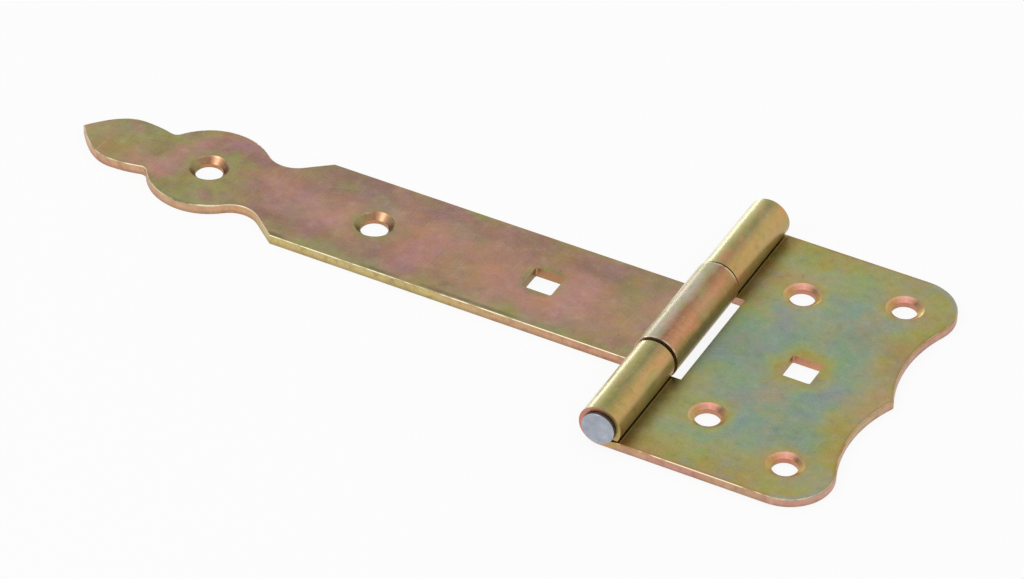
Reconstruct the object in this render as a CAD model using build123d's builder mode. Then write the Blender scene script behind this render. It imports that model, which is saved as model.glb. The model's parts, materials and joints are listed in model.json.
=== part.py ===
# Ornamental tee hinge: a scalloped plate leaf and a long strap leaf, both sheet steel with
# rolled eyes, turning on one headed pin. Millimetres. X runs along the strap with the plate
# at +X and the finial at -X, Y runs along the pin, and Z is up from the strap's back.
import os
from math import asin, cos, degrees, radians, sin, sqrt, tan
from build123d import *

os.makedirs("parts", exist_ok=True)

# Pin and eyes
barrel_length = 100.0
pin_diameter = 7.0
pin_head_lip = 1.15
pin_head_height = 1.2
pin_end_play = 0.15
plate_fit = 0.02
strap_fit = 0.05
eye_mouth = 0.6
edge_round = 0.4

# Plate leaf: lengths from the pin axis, insets from the plate's own edges
plate_sheet = 2.4
plate_length = 59.5
plate_corner_radius = 12.5
scallop_turn = 21.7
cusp_radius = 1.0
notch_end_gap = 1.55
notch_side_gap = 0.9
inner_hole_x = 20.2
inner_hole_inset = 21.6
outer_hole_setback = 13.6
outer_hole_inset = 13.4
plate_hole_diameter = 7.0
plate_sink_diameter = 10.3
plate_sink_angle = 122.0
plate_square_x = 33.2

# Strap leaf: lengths from the pin axis, finial lengths from the middle of the bulb
strap_sheet = 2.8
strap_width = 36.0
strap_square_x = 41.6
bulb_x = 142.4
bulb_radius = 17.0
waist_width = 21.2
trough_radius = 8.0
shoulder_angle = 39.5
finial_widest_x = 25.2
finial_point_length = 13.9
finial_width = 19.4
finial_neck_width = 16.2
finial_neck_radius = 2.0
finial_tip_angle = 52.0
finial_fullness = 0.43
strap_hole_spacing = 50.4
strap_hole_diameter = 7.6
strap_sink_diameter = 11.0
strap_sink_angle = 90.0

# Square holes for carriage bolts, the same in both leaves
square_side = 8.8
square_corner = 0.6

# Sizes that follow from the ones above
pin_radius = pin_diameter / 2
plate_bore = pin_radius + plate_fit
strap_bore = pin_radius + strap_fit
strap_eye_radius = strap_bore + strap_sheet
strap_length = bulb_x + finial_widest_x + finial_point_length
axis_x = (strap_length - plate_length) / 2
axis_z = strap_eye_radius
plate_top = axis_z - plate_bore
plate_back = plate_top - plate_sheet
half_barrel = barrel_length / 2
half_strap = strap_width / 2
half_notch = half_strap + notch_side_gap

# An eye starts under the pin, at this angle from its leaf's side, and turns to its mouth
eye_start = 270


def eye_point(radius, angle, side):
    """Point of an eye, at an angle in degrees from its leaf's side (+1 or -1 along X)."""
    return (axis_x + side * radius * cos(radians(angle)), axis_z + radius * sin(radians(angle)))


def eye_arc(radius, end, side):
    """Arc of an eye from under the pin, away from the leaf and over, to its mouth."""
    middle = (eye_start + end) / 2
    return ThreePointArc(
        eye_point(radius, eye_start, side),
        eye_point(radius, middle, side),
        eye_point(radius, end, side),
    )


def eye_section(bore, sheet, side):
    """Section of a rolled eye, open towards the leaf's top by the height of its mouth."""
    mouth = eye_mouth - bore
    with BuildSketch(Plane.XZ) as section:
        with BuildLine():
            inside = eye_arc(bore, degrees(asin(mouth / bore)), side)
            outside = eye_arc(bore + sheet, degrees(asin(mouth / (bore + sheet))), side)
            Line(inside @ 0, outside @ 0)
            Line(inside @ 1, outside @ 1)
        make_face()
    return section.sketch


plate_eye = eye_section(plate_bore, plate_sheet, 1)
strap_eye = eye_section(strap_bore, strap_sheet, -1)

# Plate leaf
with BuildPart() as plate_leaf:
    notch_x = axis_x + strap_eye_radius + notch_end_gap
    plate_end = axis_x + plate_length
    corner_x = plate_end - plate_corner_radius
    corner_y = half_barrel - plate_corner_radius
    turn = Vector(cos(radians(scallop_turn)), -sin(radians(scallop_turn)))
    scallop_start = Vector(corner_x, corner_y) + turn * plate_corner_radius
    with BuildSketch(Plane.XY.offset(plate_back)) as plate_outline:
        with BuildLine():
            Polyline(
                (notch_x, 0),
                (notch_x, half_notch),
                (axis_x, half_notch),
                (axis_x, half_barrel),
                (corner_x, half_barrel),
            )
            TangentArc((corner_x, half_barrel), scallop_start, tangent=(1, 0))
            TangentArc(scallop_start, (plate_end, 0), tangent=(turn.Y, -turn.X))
            Line((plate_end, 0), (notch_x, 0))
        make_face()
        mirror(about=Plane.XZ)
        fillet(plate_outline.vertices().sort_by(Axis.X)[-1], cusp_radius)
    extrude(amount=plate_sheet)
    eye_y = (half_barrel + half_notch) / 2
    with Locations((0, eye_y, 0), (0, -eye_y, 0)):
        add(extrude(plate_eye, half_barrel - eye_y, both=True, mode=Mode.PRIVATE))
    top_edges = plate_leaf.edges().filter_by_position(Axis.Z, plate_top, plate_top)
    fillet(top_edges.filter_by(lambda edge: edge.center().X > notch_x + edge_round), edge_round)
    inner_y = half_barrel - inner_hole_inset
    outer_y = half_barrel - outer_hole_inset
    with Locations(
        (axis_x + inner_hole_x, inner_y, plate_top),
        (axis_x + inner_hole_x, -inner_y, plate_top),
        (plate_end - outer_hole_setback, outer_y, plate_top),
        (plate_end - outer_hole_setback, -outer_y, plate_top),
    ):
        CounterSinkHole(
            plate_hole_diameter / 2,
            plate_sink_diameter / 2,
            depth=plate_sheet,
            counter_sink_angle=plate_sink_angle,
        )
    with BuildSketch(Plane.XY.offset(plate_back)):
        with Locations((axis_x + plate_square_x, 0)):
            RectangleRounded(square_side, square_side, square_corner)
    extrude(amount=plate_sheet, mode=Mode.SUBTRACT)

# Strap leaf
with BuildPart() as strap_leaf:
    bulb = Vector(axis_x - bulb_x, 0)
    half_waist = waist_width / 2
    half_neck = finial_neck_width / 2

    # The trough is an arc that touches the bulb on one side and the shoulder's slope on the other
    trough_y = half_waist + trough_radius
    trough = bulb + Vector(sqrt((bulb_radius + trough_radius) ** 2 - trough_y**2), trough_y)
    trough_end = bulb + (trough - bulb).normalized() * bulb_radius
    slope = radians(shoulder_angle)
    trough_start = trough + Vector(sin(slope), -cos(slope)) * trough_radius
    shoulder_x = trough_start.X + (half_strap - trough_start.Y) / tan(slope)

    # The finial swells from its neck on the bulb and runs out to a point
    neck = bulb + Vector(-sqrt(bulb_radius**2 - half_neck**2), half_neck)
    widest = bulb + Vector(-finial_widest_x, finial_width / 2)
    tip = Vector(axis_x - strap_length, 0)
    tip_way = Vector(cos(radians(finial_tip_angle)), sin(radians(finial_tip_angle)))
    tip_pull = finial_point_length * finial_fullness

    with BuildSketch(Plane.XY) as strap_outline:
        with BuildLine():
            Polyline((axis_x, 0), (axis_x, half_strap), (shoulder_x, half_strap), trough_start)
            ThreePointArc(trough_start, (trough.X, half_waist), trough_end)
            ThreePointArc(trough_end, (bulb.X, bulb_radius), neck)
            TangentArc(widest, neck, tangent=(1, 0))
            Bezier(widest, widest - Vector(tip_pull, 0), tip + tip_way * tip_pull, tip)
            Line(tip, (axis_x, 0))
        make_face()
        mirror(about=Plane.XZ)
        fillet(strap_outline.vertices().filter_by_position(Axis.X, neck.X, neck.X), finial_neck_radius)
    extrude(amount=strap_sheet)
    add(extrude(strap_eye, half_strap, both=True, mode=Mode.PRIVATE))
    top_edges = strap_leaf.edges().filter_by_position(Axis.Z, strap_sheet, strap_sheet)
    fillet(top_edges.filter_by(lambda edge: edge.center().X < axis_x - strap_bore), edge_round)
    with Locations(
        (bulb.X, 0, strap_sheet),
        (bulb.X + strap_hole_spacing, 0, strap_sheet),
    ):
        CounterSinkHole(
            strap_hole_diameter / 2,
            strap_sink_diameter / 2,
            depth=strap_sheet,
            counter_sink_angle=strap_sink_angle,
        )
    with BuildSketch(Plane.XY):
        with Locations((axis_x - strap_square_x, 0)):
            RectangleRounded(square_side, square_side, square_corner)
    extrude(amount=strap_sheet, mode=Mode.SUBTRACT)

# Pin, with a low head at each end
with BuildPart() as hinge_pin:
    head_start = half_barrel + pin_end_play
    with BuildSketch(Plane.XZ):
        with Locations((axis_x, axis_z)):
            Circle(pin_radius)
    extrude(amount=head_start, both=True)
    with BuildSketch(Plane.XZ.offset(head_start), Plane.XZ.offset(-head_start - pin_head_height)):
        with Locations((axis_x, axis_z)):
            Circle(pin_radius + pin_head_lip)
    extrude(amount=pin_head_height)
    rims = hinge_pin.edges().filter_by(GeomType.CIRCLE).group_by(Axis.Y)
    fillet(rims[0] + rims[-1], edge_round)

plate_leaf.part.label = "plate_leaf"
strap_leaf.part.label = "strap_leaf"
hinge_pin.part.label = "hinge_pin"
export_step(plate_leaf.part, "parts/plate_leaf.step")
export_step(strap_leaf.part, "parts/strap_leaf.step")
export_step(hinge_pin.part, "parts/hinge_pin.step")
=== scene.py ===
# Looks for the tee hinge: yellow-chromate zinc on both leaves, a bright zinc pin, a white
# studio floor and the photograph's camera. Shader lengths are millimetres in the part's frame.
import json
from math import cos, pi, radians, sin
import bpy
from mathutils import Matrix, Vector


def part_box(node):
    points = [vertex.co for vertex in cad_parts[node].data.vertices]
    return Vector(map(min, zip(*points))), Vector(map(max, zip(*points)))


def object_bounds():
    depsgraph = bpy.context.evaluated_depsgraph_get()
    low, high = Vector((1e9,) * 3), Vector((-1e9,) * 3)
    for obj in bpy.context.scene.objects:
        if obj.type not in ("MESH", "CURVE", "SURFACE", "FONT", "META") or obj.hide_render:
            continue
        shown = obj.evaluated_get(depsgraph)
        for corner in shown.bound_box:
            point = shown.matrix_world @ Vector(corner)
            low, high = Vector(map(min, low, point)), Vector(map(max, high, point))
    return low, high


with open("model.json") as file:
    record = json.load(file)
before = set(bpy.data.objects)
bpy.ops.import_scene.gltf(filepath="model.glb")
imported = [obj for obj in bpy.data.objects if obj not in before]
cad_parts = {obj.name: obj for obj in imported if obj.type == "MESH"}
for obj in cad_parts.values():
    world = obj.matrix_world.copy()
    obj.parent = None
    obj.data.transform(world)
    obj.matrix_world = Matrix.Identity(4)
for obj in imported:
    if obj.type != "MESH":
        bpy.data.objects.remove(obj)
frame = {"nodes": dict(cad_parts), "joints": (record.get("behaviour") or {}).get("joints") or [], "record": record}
cad_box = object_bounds()

# Camera, fitted to the photograph
image_width = 1024
focal_pixels = 5918.0
sensor_width = 36.0
camera_azimuth = radians(26.19)
camera_elevation = radians(38.12)
camera_roll = radians(2.05)
camera_distance = 1.56
camera_offset = (0.00904, -0.00577)

# Studio in metres, with levels where 1 is white
floor_half = 4.0
floor_grey = 0.92
floor_clear_share = 0.9
room_light = 0.75
softboxes = {
    "key": {"place": (-0.70, 0.78, 0.06), "width": 0.6, "height": 0.10, "power": 0.8},
    "front": {"place": (-0.45, -0.80, 0.90), "width": 0.35, "height": 0.35, "power": 2.0},
}

# Places on the part, from the frame, in millimetres
mm = 1000.0
mounts = {mount["name"]: mount for mount in frame["record"]["mounts"]}
pin_axis = Vector(frame["joints"][0]["pos_m"]) * mm
plate_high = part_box("plate_leaf")[1] * mm
strap_low, strap_high = [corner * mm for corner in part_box("strap_leaf")]
plate_top = mounts["plate_carriage_bolt"]["pos_m"][2] * mm
strap_top = mounts["strap_carriage_bolt"]["pos_m"][2] * mm
eye_radius = pin_axis.z - strap_low.z

# Sizes that the frame doesn't give, as the part has them
square_half = 4.4
plate_corner_radius = 12.5
scallop_turn = radians(21.7)
pin_head_radius = 4.65
edge_round = 0.4

# From a screw hole's rim to just past its countersink
sink_reach = 2.1


def screw_holes(name):
    """The two hole centres and the hole radius of a screw pattern."""
    dims = mounts[name]["dims"]
    middle = Vector(mounts[name]["pos_m"]) * mm
    half = Vector((dims.get("spacing_x_mm", 0.0), dims.get("spacing_y_mm", 0.0), 0.0)) / 2
    return [(middle + half, dims["hole_r_mm"]), (middle - half, dims["hole_r_mm"])]


def square_hole(name):
    """The centre of a square hole, with the half side as its radius."""
    return (Vector(mounts[name]["pos_m"]) * mm, square_half)


def screen(red, green, blue):
    """A screen colour, 0 to 255 a channel, as the linear colour that a shader takes."""
    parts = [value / 255 for value in (red, green, blue)]
    linear = [part / 12.92 if part < 0.04 else ((part + 0.055) / 1.055) ** 2.4 for part in parts]
    return (*linear, 1.0)


# Colours of wear, cut edges, painted rim highlight, painted shade with dirt in the gaps and painted shadow at the
# cut edges' feet, that both leaves share
pale_film = screen(206, 196, 170)
dark_film = screen(76, 66, 48)
dull_patch = screen(104, 98, 76)
pale_patch = screen(182, 174, 146)
pit_brown = screen(60, 52, 38)
scratch_zinc = screen(214, 204, 186)
bare_zinc_and_highlight = screen(232, 218, 188)
rubbed_zinc = screen(216, 206, 184)
grime_and_gap_shade = screen(58, 42, 22)
edge_brown = screen(146, 104, 90)
edge_cream = screen(216, 180, 152)
edge_foot_shadow = screen(112, 84, 70)
shear_brown = screen(120, 88, 62)


class Tree:
    """A material's nodes, with a short call for each kind of node used below."""

    def __init__(self, name):
        self.material = bpy.data.materials.new(name)
        self.material.use_nodes = True
        self.nodes = self.material.node_tree.nodes
        self.links = self.material.node_tree.links
        coordinates = self.nodes.new("ShaderNodeTexCoord")
        scaled = self.nodes.new("ShaderNodeVectorMath")
        scaled.operation = "SCALE"
        self.put(scaled.inputs[0], coordinates.outputs["Object"])
        scaled.inputs["Scale"].default_value = mm
        self.place = scaled.outputs[0]
        self.x, self.y, self.z = self.split(self.place)
        self.normal_x, self.normal_y, self.normal_z = self.split(coordinates.outputs["Normal"])

    def put(self, socket, value):
        """Links an output to a socket, or writes a constant into it."""
        if isinstance(value, bpy.types.NodeSocket):
            self.links.new(value, socket)
        else:
            socket.default_value = value

    def split(self, vector):
        node = self.nodes.new("ShaderNodeSeparateXYZ")
        self.put(node.inputs[0], vector)
        return node.outputs

    def join(self, x, y, z):
        node = self.nodes.new("ShaderNodeCombineXYZ")
        for socket, value in zip(node.inputs, (x, y, z)):
            self.put(socket, value)
        return node.outputs[0]

    def span(self, first, second):
        """Length of a vector with two parts."""
        node = self.nodes.new("ShaderNodeVectorMath")
        node.operation = "LENGTH"
        self.put(node.inputs[0], self.join(first, second, 0.0))
        return node.outputs["Value"]

    def math(self, operation, *values):
        node = self.nodes.new("ShaderNodeMath")
        node.operation = operation
        for socket, value in zip(node.inputs, values):
            self.put(socket, value)
        return node.outputs[0]

    def minus(self, first, second):
        return self.math("SUBTRACT", first, second)

    def size(self, value):
        """The value without its sign."""
        return self.math("ABSOLUTE", value)

    def linear(self, value, factor, offset):
        """The value times a factor, plus an offset."""
        return self.math("MULTIPLY_ADD", value, factor, offset)

    def soft_least(self, first, second, rounding):
        """The smaller of two values, rounded off where they meet."""
        return self.math("SMOOTH_MIN", first, second, rounding)

    def gather(self, operation, values):
        """One value from several, taken two at a time."""
        result = values[0]
        for value in values[1:]:
            result = self.math(operation, result, value)
        return result

    def product(self, *values):
        return self.gather("MULTIPLY", values)

    def most(self, *values):
        return self.gather("MAXIMUM", values)

    def least(self, *values):
        return self.gather("MINIMUM", values)

    def fade(self, value, start, end):
        """Rises smoothly from 0 at start to 1 at end."""
        node = self.nodes.new("ShaderNodeMapRange")
        node.interpolation_type = "SMOOTHSTEP"
        self.put(node.inputs["Value"], value)
        node.inputs["From Min"].default_value = start
        node.inputs["From Max"].default_value = end
        return node.outputs["Result"]

    def cloud(self, size, detail=3.0, stretch=(1, 1, 1), turn=0.0, shift=0.0, vector=None):
        """Noise around 0.5 with features of about the given size, longer where stretched."""
        mapping = self.nodes.new("ShaderNodeMapping")
        mapping.vector_type = "TEXTURE"
        self.put(mapping.inputs["Vector"], vector or self.place)
        mapping.inputs["Location"].default_value = (shift, shift, shift)
        mapping.inputs["Rotation"].default_value = (0, 0, turn)
        mapping.inputs["Scale"].default_value = [size * each for each in stretch]
        noise = self.nodes.new("ShaderNodeTexNoise")
        self.put(noise.inputs["Vector"], mapping.outputs[0])
        noise.inputs["Scale"].default_value = 1.0
        noise.inputs["Detail"].default_value = detail
        return noise.outputs[0]

    def wander(self, value, size, reach, shift=0.0):
        """A value that noise moves up and down by about the given reach."""
        noise = self.cloud(size, shift=shift)
        return self.linear(noise, 4 * reach, self.minus(value, 2 * reach))

    def ramp(self, value, stops):
        """A colour by the value, through stops of a position and a screen colour."""
        node = self.nodes.new("ShaderNodeValToRGB")
        self.put(node.inputs[0], value)
        elements = node.color_ramp.elements
        placed = [(position, screen(*colour)) for position, colour in stops]
        elements[0].position, elements[0].color = placed[0]
        elements[1].position, elements[1].color = placed[-1]
        for position, colour in placed[1:-1]:
            elements.new(position).color = colour
        return node.outputs[0]

    def coat(self, colour, other, mask, share=1.0):
        """A colour, with up to a share of another laid over it where the mask is high."""
        node = self.nodes.new("ShaderNodeMix")
        node.data_type = "RGBA"
        self.put(node.inputs[0], mask if share == 1.0 else self.product(mask, share))
        self.put(node.inputs[6], colour)
        self.put(node.inputs[7], other)
        return node.outputs[2]

    def tint(self, colour, cloud, thin_colour, thick_colour, share):
        """A colour that drifts to one tint where a cloud is thin, and another where it is thick."""
        middle, spread = 0.50, 0.22
        colour = self.coat(colour, thin_colour, self.fade(cloud, middle, middle - spread), share)
        return self.coat(colour, thick_colour, self.fade(cloud, middle, middle + spread), share)

    def about_pin(self):
        """Offsets from the pin's axis along X and Z, and the distance from it."""
        across = self.minus(self.x, pin_axis.x)
        above = self.minus(self.z, pin_axis.z)
        return across, above, self.span(across, above)

    def crevice(self, reach):
        """1 in gaps that are tight within the reach, and 0 in the open."""
        node = self.nodes.new("ShaderNodeAmbientOcclusion")
        node.samples = 8
        node.inputs["Distance"].default_value = reach / mm
        return self.fade(node.outputs["AO"], 0.75, 0.15)

    def scratches(self, turn, shift):
        """Thin straight lines about 10 mm long, in patches."""
        lines = self.cloud(0.16, detail=0.0, stretch=(110, 1, 110), turn=turn, shift=shift)
        patches = self.cloud(22.0, detail=2.0, shift=shift)
        return self.product(self.fade(lines, 0.72, 0.80), self.fade(patches, 0.52, 0.62))

    def finish(self, colour, roughness, height, depth):
        """Feeds the metal's shader, with a relief of the given depth."""
        bump = self.nodes.new("ShaderNodeBump")
        self.put(bump.inputs["Height"], height)
        bump.inputs["Distance"].default_value = depth / mm
        shader = self.nodes["Principled BSDF"]
        shader.inputs["Metallic"].default_value = 1.0
        self.put(shader.inputs["Base Color"], colour)
        self.put(shader.inputs["Roughness"], roughness)
        self.put(shader.inputs["Normal"], bump.outputs[0])
        return self.material


def hole_gap(tree, holes):
    """Distance along the sheet to the rim of the nearest hole."""
    gaps = []
    for centre, radius in holes:
        distance = tree.span(tree.minus(tree.x, centre.x), tree.minus(tree.y, centre.y))
        gaps.append(tree.minus(distance, radius))
    return tree.least(*gaps)


def scallop_gap(tree):
    """Distance along the sheet from the plate's two scallops, which are arcs of one size."""
    corner = Vector((plate_high.x, plate_high.y)) - Vector((1, 1)) * plate_corner_radius
    way = Vector((cos(scallop_turn), -sin(scallop_turn)))
    start = corner + way * plate_corner_radius
    chord = Vector((plate_high.x, 0)) - start
    radius = chord.length_squared / (2 * chord.dot(way))
    centre = start + way * radius
    distance = tree.span(
        tree.minus(tree.x, centre.x),
        tree.minus(tree.size(tree.y), centre.y),
    )
    return tree.minus(distance, radius)


class Eye:
    """Where a rolled eye is, and its colour round the roll in degrees from the top, whose stops include a painted
    highlight.
    """

    # The colour's range in degrees, and how far smears shift it and slant across it in radians
    first_angle = -95.0
    last_angle = 125.0
    smear = 0.16
    slant = 0.2
    unrolled_radius = 6.0
    end_slope = 0.09
    green_film = screen(146, 148, 72)
    rose_film = screen(208, 126, 98)

    def __init__(self, tree, stops):
        across, above, self.radius = tree.about_pin()
        self.share = tree.fade(self.radius, eye_radius + 0.55, eye_radius + 0.25)
        angle = tree.math("ARCTAN2", across, above)
        unrolled = tree.join(tree.product(angle, self.unrolled_radius), tree.y, 0.0)
        smears = tree.cloud(3.0, detail=4.0, stretch=(1, 4, 1), turn=self.slant, vector=unrolled)
        patches = tree.cloud(3.6, stretch=(1, 2, 1), turn=self.slant, shift=9.0, vector=unrolled)
        turned = tree.linear(smears, 2 * self.smear, tree.minus(angle, self.smear))
        span = self.last_angle - self.first_angle
        along = tree.linear(turned, 180 / pi / span, -self.first_angle / span)
        placed = [((degrees - self.first_angle) / span, colour) for degrees, colour in stops]
        # The ramp paints the stops' highlight round the roll
        film = tree.ramp(along, placed)
        self.colour = tree.tint(film, patches, self.green_film, self.rose_film, share=0.42)

        # The eye's flat ends, with a position that runs across them from 0 to 1
        facing_end = tree.fade(tree.size(tree.normal_y), 0.7, 0.9)
        self.end_share = tree.product(facing_end, self.share)
        self.end_across = tree.linear(across, self.end_slope, 0.5)


def wall_with_painted_light(tree, near_colour, far_colour):
    """Colour of a sunk wall, with painted light making it brighter on the side away from the front."""
    facing_front = tree.fade(tree.normal_y, -0.15, -0.6)
    return tree.coat(near_colour, far_colour, facing_front)


def sink_tones_and_painted_light(tree, stops):
    """Colour round a countersink, by the degrees that its wall faces from +X towards -Y, with a painted highlight
    and painted shade in its stops.
    """
    facing = tree.math("ARCTAN2", tree.product(tree.normal_y, -1.0), tree.normal_x)
    turned = tree.linear(facing, 0.5 / pi, 0.5)
    placed = [(degrees / 360 + 0.5, colour) for degrees, colour in stops]
    streaks = tree.cloud(0.02, detail=2.0, vector=tree.join(turned, 0.0, 0.0))
    colour = tree.ramp(turned, placed)
    return tree.tint(colour, streaks, screen(92, 66, 46), screen(226, 184, 150), share=0.14)


def drift(tree, film, thin_colour, thick_colour, shift, shares):
    """Patches of two tints on a film, with the tint's share for each size of patch."""
    for size, share in shares.items():
        patches = tree.cloud(size, shift=shift)
        film = tree.tint(film, patches, thin_colour, thick_colour, share)
    return film


def dress_leaf(tree, top, holes, square, eye, film, sink_and_painted_light, wall, edge, eye_end, rub=None):
    """Puts a leaf's colours together with wear and a painted rim highlight, scratches, painted shade and dirt in
    the gaps, painted shadow at the cut edges' feet, gloss and grain.
    """
    on_edge = tree.fade(tree.size(tree.normal_z), 0.35, 0.15)
    at_hole = tree.fade(hole_gap(tree, holes + [square]), sink_reach + 0.6, sink_reach + 0.2)
    on_sink = tree.product(
        tree.fade(hole_gap(tree, holes), sink_reach + 0.2, sink_reach),
        tree.fade(tree.normal_z, 0.97, 0.93),
        tree.fade(tree.normal_z, 0.3, 0.5),
    )

    # Cut edges: blotched, with a painted shadow darkening them towards the back, and fine upright shear lines
    blotches = tree.cloud(2.4, detail=4.0, shift=52.0)
    shear = tree.cloud(0.35, detail=2.0, stretch=(1, 1, 9), shift=21.0)
    low_rim_shadow = tree.fade(tree.z, top - 1.4, top - 2.4)
    edge = tree.tint(edge, blotches, edge_brown, edge_cream, share=0.4)
    edge = tree.coat(edge, edge_foot_shadow, low_rim_shadow, share=0.32)
    edge = tree.coat(edge, shear_brown, tree.fade(shear, 0.45, 0.75), share=0.13)

    colour = tree.coat(film, sink_and_painted_light, on_sink)
    colour = tree.coat(colour, tree.coat(edge, wall, at_hole), on_edge)
    colour = tree.coat(colour, eye.colour, eye.share)
    colour = tree.coat(colour, eye_end, eye.end_share)

    # Unevenness of the film at four scales
    broad = tree.cloud(22.0, detail=2.0, shift=190.0)
    mottle = tree.cloud(2.6, detail=5.0, shift=7.0)
    grain = tree.cloud(0.45, detail=2.0)
    pits = tree.fade(tree.cloud(1.1, detail=0.0, shift=130.0), 0.86, 0.92)
    colour = tree.tint(colour, broad, dull_patch, pale_patch, share=0.14)
    colour = tree.coat(colour, pale_film, tree.fade(mottle, 0.50, 0.78), share=0.13)
    colour = tree.coat(colour, dark_film, tree.fade(mottle, 0.50, 0.22), share=0.17)
    colour = tree.coat(colour, pale_film, tree.fade(grain, 0.50, 0.80), share=0.14)
    colour = tree.coat(colour, dark_film, tree.fade(grain, 0.50, 0.20), share=0.14)
    colour = tree.coat(colour, pit_brown, pits, share=0.35)

    # Scratches, then rims bare from wear in places with a painted rim highlight, then painted shade with dirt in
    # the gaps
    marks = tree.most(tree.scratches(turn=0.35, shift=3.0), tree.scratches(turn=1.5, shift=60.0))
    # Rims bare from wear, with a painted rim highlight, kept off edges that face +X
    worn_and_highlit_rims = tree.product(
        tree.fade(tree.z, top - 1.05 * edge_round, top - 0.75 * edge_round),
        tree.fade(tree.normal_z, 0.10, 0.40),
        tree.fade(tree.normal_z, 0.985, 0.80),
        tree.linear(on_sink, -0.65, 1.0),
        tree.minus(1.0, eye.share),
        tree.fade(tree.cloud(6.0, detail=4.0, shift=90.0), 0.34, 0.52),
        tree.fade(tree.normal_x, 0.80, 0.45),
    )
    colour = tree.coat(colour, scratch_zinc, marks, share=0.22)
    colour = tree.coat(colour, bare_zinc_and_highlight, worn_and_highlit_rims, share=0.75)
    if rub is not None:
        colour = tree.coat(colour, rubbed_zinc, rub, share=0.6)
    # Painted shade where gaps are tight, with dirt
    colour = tree.coat(colour, grime_and_gap_shade, tree.crevice(1.2), share=0.4)

    # Cut edges are rougher than the film, and the rolled eyes smoother
    film_roughness = 0.28
    roughness = tree.linear(mottle, 0.16, film_roughness)
    roughness = tree.linear(on_edge, 0.08, roughness)
    roughness = tree.linear(eye.share, -0.05, roughness)
    height = tree.minus(tree.product(grain, 0.5), marks)
    return tree.finish(colour, roughness, height, depth=0.003)


def plate_film(tree, holes, outer_holes, square):
    """The plate's film: blue-green in the middle, golden by its edges, holes and barrel."""
    off_middle = tree.size(tree.y)
    from_side = tree.minus(plate_high.y, off_middle)
    from_scallop = scallop_gap(tree)

    # How far inside its golden margins a point lies, by how fast the gold ends past each of
    # them. Along the barrel there is gold only beside the notch.
    scallop_slope = 1.5
    hole_slope = 3.6
    square_slope = 2.7
    golden_foot = pin_axis.x + 3.0
    blue_half_width = 26.0
    endways = tree.wander(from_scallop, size=6.0, reach=1.0, shift=31.0)
    endways = tree.product(endways, scallop_slope)
    barrelways = tree.math(
        "SMOOTH_MAX",
        tree.minus(tree.x, golden_foot),
        tree.minus(blue_half_width, off_middle),
        6.0,
    )
    inside = tree.soft_least(endways, barrelways, rounding=8.0)
    inside = tree.soft_least(from_side, inside, rounding=8.0)
    inside = tree.wander(inside, size=15.0, reach=4.5)
    from_hole = tree.wander(hole_gap(tree, holes), size=5.0, reach=0.8, shift=12.0)
    from_square = tree.wander(hole_gap(tree, [square]), size=5.0, reach=1.2, shift=25.0)
    holeways = tree.soft_least(
        tree.product(from_hole, hole_slope),
        tree.product(from_square, square_slope),
        rounding=5.0,
    )
    inside = tree.soft_least(inside, holeways, rounding=5.0)
    rim_depth, middle_depth = 0.12, 0.84
    depth = tree.linear(tree.fade(inside, -2.0, 22.0), middle_depth - rim_depth, rim_depth)
    film = tree.ramp(
        tree.wander(depth, size=5.0, reach=0.13, shift=40.0),
        [
            (0.00, (170, 141, 80)),
            (0.12, (161, 146, 74)),
            (0.28, (155, 151, 82)),
            (0.45, (153, 158, 100)),
            (0.62, (141, 158, 117)),
            (0.80, (133, 155, 131)),
            (1.00, (130, 146, 140)),
        ],
    )
    green, rose = screen(118, 154, 92), screen(178, 130, 116)
    film = drift(tree, film, green, rose, shift=150.0, shares={18.0: 0.44, 6.5: 0.20})
    violet, gold = screen(126, 134, 158), screen(172, 150, 66)
    film = drift(tree, film, violet, gold, shift=170.0, shares={14.0: 0.28, 5.0: 0.20})

    # Warmer round the outer holes, painted shade along the barrel's foot, and brown on the outermost rim
    outer_gap = tree.wander(hole_gap(tree, outer_holes), size=9.0, reach=3.0, shift=66.0)
    film = tree.coat(film, screen(172, 138, 98), tree.fade(outer_gap, 9.0, 0.0), share=0.42)
    barrel_foot_shade = tree.product(
        tree.fade(tree.x, pin_axis.x + 12.0, pin_axis.x + 5.0),
        tree.fade(off_middle, strap_high.y - 2.0, strap_high.y + 2.0),
    )
    film = tree.coat(film, screen(84, 68, 34), barrel_foot_shade, share=0.68)
    outermost = tree.fade(tree.least(from_scallop, from_side), 1.3, 0.2)
    film = tree.coat(film, screen(150, 112, 62), outermost, share=0.55)

    # The two round corners, rubbed grey along their rims
    past_corner_x = tree.minus(tree.x, plate_high.x - plate_corner_radius)
    past_corner_y = tree.minus(plate_corner_radius, from_side)
    from_corner = tree.wander(
        tree.span(past_corner_x, past_corner_y), size=3.0, reach=0.5, shift=93.0
    )
    corner_rub = tree.product(
        tree.fade(from_corner, plate_corner_radius - 2.6, plate_corner_radius - 0.7),
        tree.fade(past_corner_x, -1.0, 3.0),
        tree.fade(past_corner_y, 2.0, 5.0),
    )
    return tree.coat(film, screen(150, 148, 130), corner_rub, share=0.8)


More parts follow.
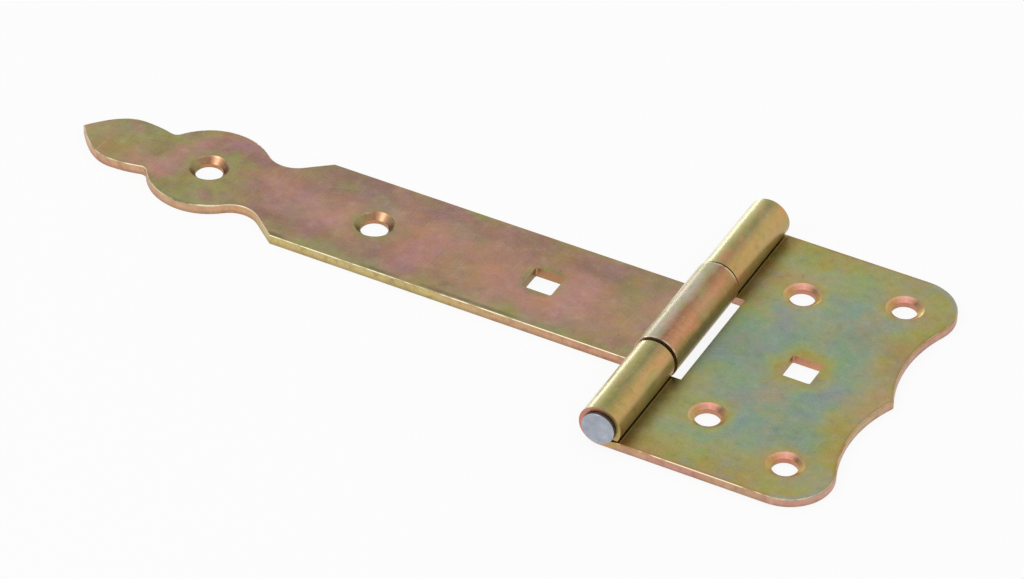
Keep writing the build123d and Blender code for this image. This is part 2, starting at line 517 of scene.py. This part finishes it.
def plate_material():
    tree = Tree("yellow_zinc_plate")
    outer_holes = screw_holes("plate_outer_screws")
    holes = screw_holes("plate_inner_screws") + outer_holes
    square = square_hole("plate_carriage_bolt")
    # The stops paint a highlight on the flank towards -X, from about -60 to -34 degrees
    eye = Eye(
        tree,
        [
            (-90, (140, 128, 84)),
            (-60, (226, 218, 180)),
            (-46, (236, 230, 196)),
            (-34, (211, 207, 176)),
            (-24, (184, 178, 127)),
            (-3, (150, 139, 82)),
            (9, (130, 126, 84)),
            (35, (192, 154, 94)),
            (110, (173, 156, 101)),
        ],
    )
    eye_end = tree.ramp(
        eye.end_across,
        [
            (0.0, (204, 132, 120)),
            (0.6, (196, 150, 110)),
            (1.0, (178, 156, 92)),
        ],
    )
    edge = tree.ramp(
        tree.cloud(24.0, detail=2.0, shift=15.0),
        [
            (0.30, (206, 154, 142)),
            (0.50, (200, 147, 128)),
            (0.70, (192, 160, 118)),
        ],
    )
    # Painted highlights on the far wall, facing -Y, and on the wall facing -X, with painted shade between them
    sink_and_painted_light = sink_tones_and_painted_light(
        tree,
        [
            (-180, (220, 194, 112)),
            (-115, (133, 124, 78)),
            (-65, (184, 170, 89)),
            (18, (188, 137, 85)),
            (72, (237, 164, 148)),
            (94, (204, 142, 116)),
            (112, (133, 100, 70)),
            (140, (166, 127, 83)),
            (180, (220, 194, 112)),
        ],
    )
    # Painted light: the sunk wall is brighter on its far side
    wall = wall_with_painted_light(tree, screen(166, 138, 86), screen(194, 134, 112))
    wall_patches = tree.cloud(20.0, detail=1.0, shift=75.0)
    wall = tree.tint(wall, wall_patches, screen(160, 102, 106), screen(206, 162, 108), share=0.45)
    film = plate_film(tree, holes, outer_holes, square)
    return dress_leaf(tree, plate_top, holes, square, eye, film, sink_and_painted_light, wall, edge, eye_end)


def strap_film(tree, holes, square):
    """The strap's film: rose along its middle, with olive by its margins, holes and tip."""
    bulb = holes[1][0]
    half_width = strap_high.y
    from_side = tree.minus(half_width, tree.size(tree.y))
    from_front = tree.math("ADD", tree.y, half_width)

    # Warmest along the middle and towards the tip, cooler at the sides and past the middle hole
    middle_warmth = 0.62
    warmth = middle_warmth
    for value, start, end, change in (
        (tree.y, 3.0, 14.0, -0.36),
        (tree.y, -5.0, -14.0, -0.20),
        (tree.x, -10.0, -45.0, -0.22),
        (tree.x, bulb.x, bulb.x - 10.0, 0.30),
    ):
        warmth = tree.linear(tree.fade(value, start, end), change, warmth)
    warmth = tree.wander(warmth, size=16.0, reach=0.16)
    film = tree.ramp(
        tree.wander(warmth, size=4.5, reach=0.13, shift=40.0),
        [
            (0.10, (140, 109, 95)),
            (0.32, (151, 112, 99)),
            (0.52, (165, 126, 105)),
            (0.70, (174, 131, 108)),
            (0.92, (174, 138, 126)),
        ],
    )

    # Olive along the margins, round the holes, in patches past the shoulders and at the tip
    side_line = tree.wander(from_side, size=9.0, reach=3.0, shift=70.0)
    front_line = tree.wander(from_front, size=7.0, reach=3.0, shift=44.0)
    hole_line = tree.wander(hole_gap(tree, holes + [square]), size=4.0, reach=1.2, shift=55.0)
    tip_line = tree.wander(tree.x, size=6.0, reach=2.5, shift=18.0)
    patches = tree.cloud(11.0, shift=105.0)
    beyond_shoulder = tree.fade(tree.x, bulb.x + 20.0, bulb.x + 8.0)
    olive = tree.most(
        tree.fade(side_line, 3.0, -2.0),
        tree.fade(front_line, 8.0, -1.0),
        tree.product(tree.fade(tree.x, 15.0, 45.0), 0.28),
        tree.fade(hole_line, 3.4, 0.6),
        tree.product(tree.fade(patches, 0.38, 0.58), beyond_shoulder),
        tree.fade(tip_line, strap_low.x + 24.0, strap_low.x + 13.0),
    )
    olive_colour = tree.ramp(
        tree.cloud(7.0, shift=33.0),
        [
            (0.35, (138, 128, 84)),
            (0.50, (143, 140, 82)),
            (0.65, (144, 149, 86)),
        ],
    )
    film = tree.coat(film, olive_colour, olive, share=0.88)
    green, pink = screen(136, 142, 76), screen(188, 130, 138)
    film = drift(tree, film, green, pink, shift=150.0, shares={16.0: 0.42, 6.5: 0.22})
    violet, orange = screen(140, 116, 128), screen(188, 136, 80)
    film = drift(tree, film, violet, orange, shift=170.0, shares={12.0: 0.24, 5.0: 0.18})

    # A dark rolled line just inside the front rim, broken in places
    roll = tree.product(
        tree.fade(from_side, 0.35, 0.6),
        tree.fade(from_side, 2.2, 1.0),
        tree.fade(tree.y, 0.0, -1.0),
        tree.fade(tree.cloud(14.0, shift=82.0), 0.40, 0.55),
    )
    return tree.coat(film, screen(98, 96, 70), roll, share=0.7)


def strap_material():
    tree = Tree("yellow_zinc_strap")
    holes = screw_holes("strap_screws")
    square = square_hole("strap_carriage_bolt")
    # The stops paint a highlight on the flank towards -X, from about -62 to -48 degrees
    eye = Eye(
        tree,
        [
            (-90, (150, 138, 100)),
            (-62, (240, 232, 204)),
            (-48, (226, 217, 186)),
            (-38, (170, 162, 137)),
            (-26, (160, 154, 131)),
            (-11, (175, 166, 147)),
            (11, (150, 109, 81)),
            (37, (189, 137, 98)),
            (57, (152, 124, 70)),
            (110, (157, 139, 89)),
        ],
    )
    eye_end = tree.ramp(
        eye.end_across,
        [
            (0.0, (206, 176, 140)),
            (1.0, (190, 160, 108)),
        ],
    )
    length = pin_axis.x - strap_low.x
    edge = tree.ramp(
        tree.linear(tree.wander(tree.x, size=16.0, reach=6.0), 1 / length, -strap_low.x / length),
        [
            (0.06, (212, 164, 132)),
            (0.30, (208, 162, 122)),
            (0.37, (206, 184, 120)),
            (0.62, (204, 186, 122)),
            (0.74, (206, 166, 122)),
            (0.90, (204, 152, 122)),
        ],
    )
    # Painted highlight on the far wall, facing -Y, with painted shade on the other sides
    sink_and_painted_light = sink_tones_and_painted_light(
        tree,
        [
            (-180, (124, 108, 72)),
            (-90, (119, 104, 67)),
            (0, (144, 135, 86)),
            (61, (152, 106, 80)),
            (94, (205, 152, 117)),
            (119, (144, 110, 80)),
            (148, (110, 88, 62)),
            (180, (124, 108, 72)),
        ],
    )
    # Painted light: the sunk wall is brighter on its far side
    wall = wall_with_painted_light(tree, screen(146, 116, 74), screen(186, 136, 96))

    # The eye's two end rims, rubbed pale in places
    half_width = strap_high.y
    rub = tree.product(
        tree.fade(tree.size(tree.y), half_width - 0.7, half_width - 0.3),
        tree.fade(eye.radius, eye_radius - 0.45, eye_radius - 0.15),
        tree.fade(tree.normal_z, 0.2, 0.5),
        tree.fade(tree.cloud(1.6, detail=4.0, shift=48.0), 0.36, 0.60),
        eye.share,
    )
    film = strap_film(tree, holes, square)
    return dress_leaf(tree, strap_top, holes, square, eye, film, sink_and_painted_light, wall, edge, eye_end, rub)


def pin_material():
    tree = Tree("bright_zinc")
    swirl = tree.cloud(2.4, detail=4.0)
    lines = tree.cloud(0.35, detail=2.0, stretch=(8, 1, 1), turn=0.6)
    line_share = 0.35
    colour = tree.ramp(
        tree.linear(lines, line_share, tree.product(swirl, 1 - line_share)),
        [
            (0.30, (148, 154, 166)),
            (0.55, (170, 175, 185)),
            (0.75, (196, 199, 206)),
        ],
    )

    # Painted shade round the heads' flanks and in the gaps behind them
    radius = tree.about_pin()[2]
    painted_flank_shade = tree.product(
        tree.fade(tree.size(tree.normal_y), 0.6, 0.2),
        tree.fade(radius, pin_head_radius - 0.25, pin_head_radius - 0.05),
    )
    colour = tree.coat(colour, screen(64, 54, 40), painted_flank_shade, share=0.8)
    colour = tree.coat(colour, screen(34, 26, 16), tree.crevice(2.0), share=0.85)
    least_roughness = 0.25
    roughness = tree.linear(swirl, 0.25, least_roughness)
    return tree.finish(colour, roughness, lines, depth=0.01)


def seen_directly(nodes, links):
    """1 for camera, mirror and glass rays, 0 for the rays that light things."""
    path = nodes.new("ShaderNodeLightPath")
    seen = path.outputs["Is Camera Ray"]
    for name in ("Is Glossy Ray", "Is Transmission Ray"):
        either = nodes.new("ShaderNodeMath")
        either.operation = "MAXIMUM"
        links.new(seen, either.inputs[0])
        links.new(path.outputs[name], either.inputs[1])
        seen = either.outputs[0]
    return seen


def floor_material():
    """Mostly clear where it is seen, so the white world and what swings below it show through.

    The rest is matte and takes the shadows.
    """
    material = bpy.data.materials.new("studio_floor")
    material.use_nodes = True
    nodes, links = material.node_tree.nodes, material.node_tree.links
    nodes.remove(nodes["Principled BSDF"])
    matte = nodes.new("ShaderNodeBsdfDiffuse")
    matte.inputs["Color"].default_value = (floor_grey, floor_grey, floor_grey, 1.0)
    clear = nodes.new("ShaderNodeBsdfTransparent")
    share = nodes.new("ShaderNodeMath")
    share.operation = "MULTIPLY"
    links.new(seen_directly(nodes, links), share.inputs[0])
    share.inputs[1].default_value = floor_clear_share
    mix = nodes.new("ShaderNodeMixShader")
    links.new(share.outputs[0], mix.inputs[0])
    links.new(matte.outputs[0], mix.inputs[1])
    links.new(clear.outputs[0], mix.inputs[2])
    links.new(mix.outputs[0], nodes["Material Output"].inputs["Surface"])
    return material


def make_world():
    """White where it is seen, and an even room light where it lights things."""
    world = bpy.data.worlds.new("studio")
    world.use_nodes = True
    nodes, links = world.node_tree.nodes, world.node_tree.links
    level = nodes.new("ShaderNodeMapRange")
    links.new(seen_directly(nodes, links), level.inputs["Value"])
    level.inputs["To Min"].default_value = room_light
    links.new(level.outputs["Result"], nodes["Background"].inputs["Strength"])
    nodes["Background"].inputs["Color"].default_value = (1.0, 1.0, 1.0, 1.0)
    bpy.context.scene.world = world


def make_floor():
    mesh = bpy.data.meshes.new("floor")
    signs = ((-1, -1), (1, -1), (1, 1), (-1, 1))
    corners = [(x * floor_half, y * floor_half, 0.0) for x, y in signs]
    mesh.from_pydata(corners, [], [(0, 1, 2, 3)])
    floor = bpy.data.objects.new("floor", mesh)
    floor.location.z = cad_box[0].z
    mesh.materials.append(floor_material())
    bpy.context.scene.collection.objects.link(floor)


def add_softbox(name, place, width, height, power):
    """An area lamp that faces the middle of the part."""
    lamp = bpy.data.lights.new(name, "AREA")
    lamp.shape = "RECTANGLE"
    lamp.size = width
    lamp.size_y = height
    lamp.energy = power
    softbox = bpy.data.objects.new(name, lamp)
    softbox.location = place
    softbox.rotation_euler = Vector(place).to_track_quat("Z", "Y").to_euler()
    bpy.context.scene.collection.objects.link(softbox)


def add_camera():
    around = Matrix.Rotation(camera_azimuth, 3, "Z")
    tilt = Matrix.Rotation(pi / 2 - camera_elevation, 3, "X")
    turn = around @ tilt @ Matrix.Rotation(camera_roll, 3, "Z")
    data = bpy.data.cameras.new("camera")
    data.sensor_width = sensor_width
    data.lens = focal_pixels * sensor_width / image_width
    camera = bpy.data.objects.new("camera", data)
    camera.location = turn @ Vector((*camera_offset, camera_distance))
    camera.rotation_euler = turn.to_euler()
    bpy.context.scene.collection.objects.link(camera)
    bpy.context.scene.camera = camera


materials = {
    "plate_leaf": plate_material(),
    "strap_leaf": strap_material(),
    "hinge_pin": pin_material(),
}
for node, material in materials.items():
    for slot in frame["nodes"][node].material_slots:
        slot.material = material

make_world()
make_floor()
for name, softbox in softboxes.items():
    add_softbox(name, **softbox)
add_camera()
bpy.context.scene.view_settings.view_transform = "Standard"
